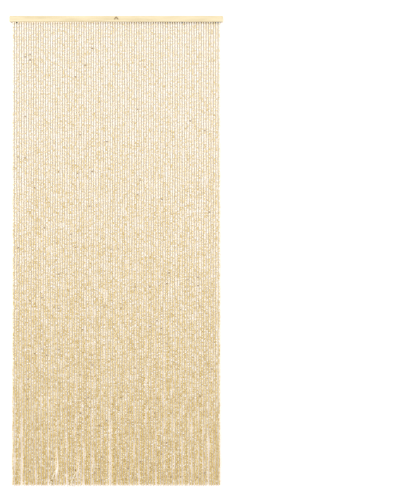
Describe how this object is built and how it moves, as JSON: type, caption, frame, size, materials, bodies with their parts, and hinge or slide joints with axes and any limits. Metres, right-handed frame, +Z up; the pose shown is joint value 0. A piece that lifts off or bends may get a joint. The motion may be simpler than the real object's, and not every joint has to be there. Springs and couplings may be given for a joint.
{
  "type": "bead curtain with header rail",
  "caption": "Full-length doorway curtain of cream wooden bead strands hanging apart from a slim pale wooden header rail.",
  "frame": {"origin": "centre of the header rail's flat back face, which goes against a wall or door frame", "axes": "+Z up, +X along the rail, front of the curtain towards -Y; the strands hang along -Z"},
  "size_m": [0.902, 0.0163, 1.9869],
  "materials": {
    "pale_wood": "clear satin varnish over pale softwood",
    "cream_beads": "cream satin wooden beads, slightly varied",
    "brown_wire": "dull browned wire"
  },
  "bodies": {
    "root": {"rail": "pale_wood", "strands": "cream_beads", "wire_staple": "brown_wire"}
  },
  "joints": []
}
